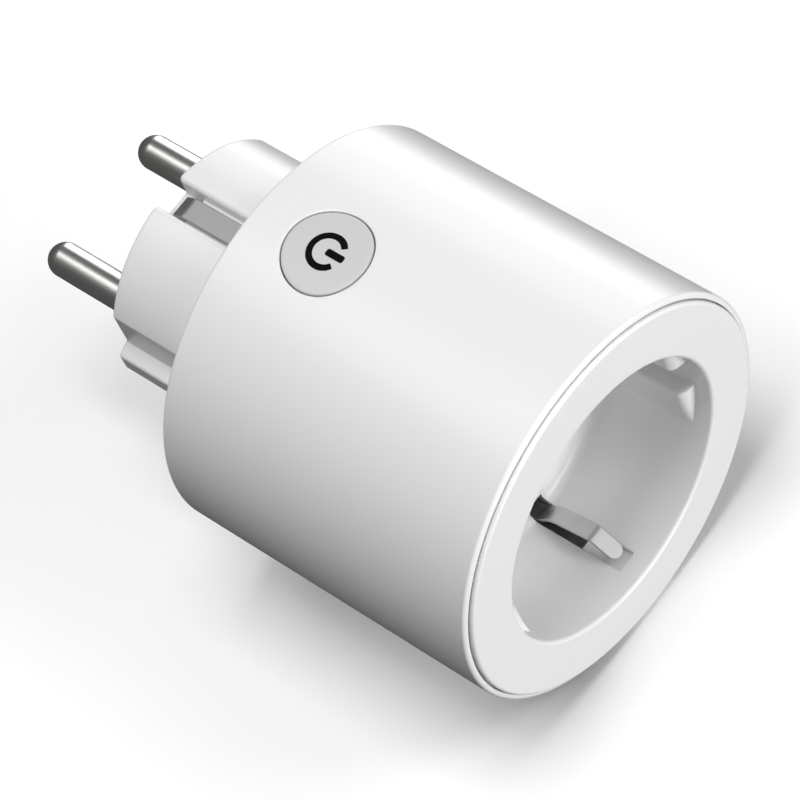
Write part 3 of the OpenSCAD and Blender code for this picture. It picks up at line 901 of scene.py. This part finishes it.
def paint_cad_nodes():
    """Gives every CAD node its slot's material; what shows of them stays as the CAD made it"""
    slot_of = {row["node"]: row["material_slot"] for row in frame["record"]["subparts"]}
    for name, node in frame["nodes"].items():
        node.data.materials.clear()
        node.data.materials.append(PAINTS[slot_of[name]])


# ---------------------------------------------------------------- assembly

def build_pieces():
    parts = [
        ("shell_moulding", shell_shape(), "housing", "shell_white", "outer_shell"),
        ("rear_moulding", housing_shape(), "housing", "shell_white", "rear_housing"),
        ("socket_moulding", insert_shape(), "housing", "insert_white", "socket_insert"),
        ("pin_left", pin_shape(-1), "housing", "nickel", "plug_pin_left"),
        ("pin_right", pin_shape(1), "housing", "nickel", "plug_pin_right"),
        ("earth_strips", strap_shape(), "housing", "earth_metal", "plug_earth_strap"),
        ("upper_earth_clip", clip_shape(1), "clip_top", "earth_metal", "earth_clip_top"),
        ("lower_earth_clip", clip_shape(-1), "clip_bottom", "earth_metal", "earth_clip_bottom"),
        ("button_moulding", button_shape(), "button", "button_white", "button_cap"),
        ("power_symbol", symbol_shape(), "button", "symbol_black", "power_icon"),
    ]
    for name, shape, body, slot, node in parts:
        make_piece(name, shape, body, slot, node)


# ---------------------------------------------------------------- stage

def make_floor():
    """Large pale floor that the body lies on; it takes shadows but throws no light back"""
    mesh = bpy.data.meshes.new("floor")
    half = 3.0
    z = -BODY_R * MM
    corners = [(-half, -half, z), (half, -half, z), (half, half, z), (-half, half, z)]
    mesh.from_pydata(corners, [], [(0, 1, 2, 3)])
    paint = Paint("floor_white", (1.0, 1.0, 1.0), 0.8)
    paint.surface(3, 0.005, 0.02).set(Specular_IOR_Level=0.1)
    mesh.materials.append(paint.material)
    floor = bpy.data.objects.new("floor", mesh)
    bpy.context.scene.collection.objects.link(floor)
    floor.visible_diffuse = False
    floor.visible_glossy = False
    floor.visible_shadow = False


def softbox(name, place, size, power):
    """Rectangular area light at a place in millimetres from the aim point, turned towards it"""
    data = bpy.data.lights.new(name, "AREA")
    data.shape = "RECTANGLE"
    data.size, data.size_y = (s * MM for s in size)
    data.energy = power
    light = bpy.data.objects.new(name, data)
    bpy.context.scene.collection.objects.link(light)
    light.location = (AIM + Vector(place)) * MM
    light.rotation_euler = (-Vector(place)).to_track_quat("-Z", "Y").to_euler()


def make_world(strength):
    world = bpy.data.worlds.new("studio")
    world.use_nodes = True
    background = world.node_tree.nodes["Background"]
    background.inputs["Color"].default_value = (1, 1, 1, 1)
    background.inputs["Strength"].default_value = strength
    bpy.context.scene.world = world


def make_lights():
    make_world(0.08)
    softbox("top", (0, 0, 900), (400, 400), 3.9)
    softbox("top_left", (-400, 0, 806), (400, 400), 2.3)
    softbox("top_back", (-135, 405, 783), (450, 250), 0.8)
    softbox("front", (100, -890, 0), (450, 450), 7.2)
    softbox("front_right", (395, -527, 614), (300, 300), 1.8)
    softbox("strip_high", (681, 400, 128), (350, 500), 1.3)
    softbox("strip_low", (681, 386, -123), (350, 250), 0.7)


def make_camera():
    data = bpy.data.cameras.new("camera")
    data.lens = CAMERA_LENS
    data.sensor_width = 36
    data.clip_start, data.clip_end = 0.01, 10
    camera = bpy.data.objects.new("camera", data)
    bpy.context.scene.collection.objects.link(camera)
    azimuth, elevation = math.radians(CAMERA_AZIMUTH), math.radians(CAMERA_ELEVATION)
    level = math.cos(elevation)
    back = Vector((math.sin(azimuth) * level, -math.cos(azimuth) * level, math.sin(elevation)))
    camera.location = (AIM + back * CAMERA_DISTANCE) * MM
    upright = (-back).to_track_quat("-Z", "Y").to_matrix()
    camera.rotation_euler = (upright @ Matrix.Rotation(math.radians(-CAMERA_ROLL), 3, "Z")).to_euler()
    bpy.context.scene.camera = camera


def set_exposure():
    view = bpy.context.scene.view_settings
    view.view_transform = "Standard"
    view.look = "None"


paint_cad_nodes()
build_pieces()
make_floor()
make_lights()
make_camera()
set_exposure()
